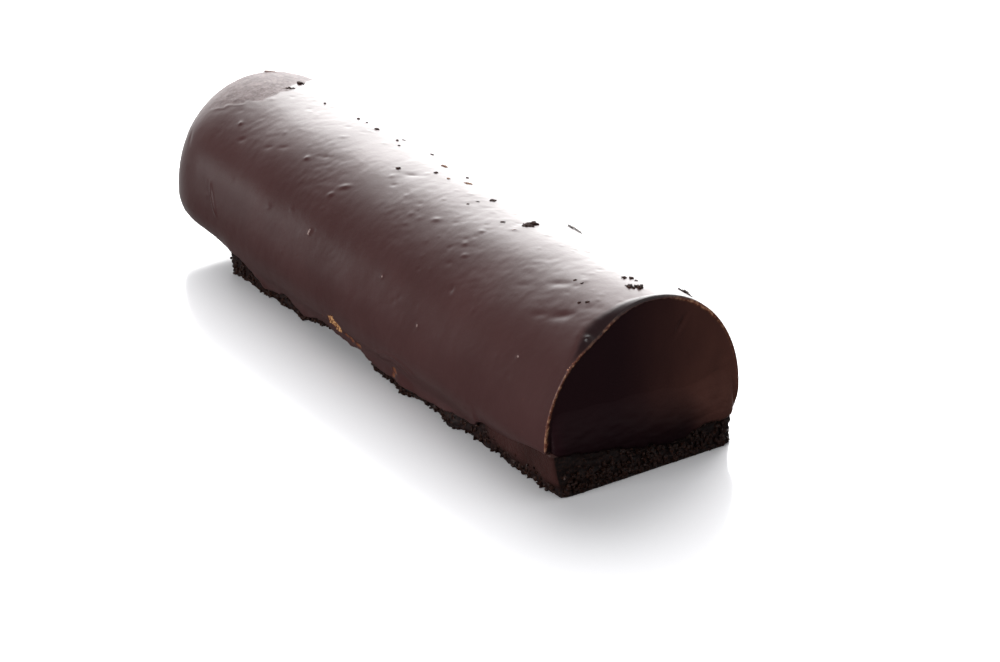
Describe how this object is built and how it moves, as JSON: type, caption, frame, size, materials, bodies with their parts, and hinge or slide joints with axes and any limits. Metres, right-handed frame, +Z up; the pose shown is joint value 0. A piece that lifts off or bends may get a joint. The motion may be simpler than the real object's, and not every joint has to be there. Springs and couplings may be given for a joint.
{
  "type": "yule log cake",
  "caption": "Half-round yule log cake under dark chocolate glaze, with a rounded back end, a flat cut front end and a coated biscuit base.",
  "frame": {"origin": "on the floor, under the middle of the cake's box", "axes": "+X along the cake towards its flat cut end, +Z up"},
  "size_m": [0.262, 0.08, 0.0654],
  "materials": {
    "chocolate_glaze": "smooth dark chocolate glaze, soft gloss with fine ripples and small bubbles",
    "chocolate_coating": "rougher chocolate coating over biscuit, crumbly where it is broken"
  },
  "bodies": {
    "root": {"log": "chocolate_glaze", "base": "chocolate_coating"}
  },
  "joints": []
}
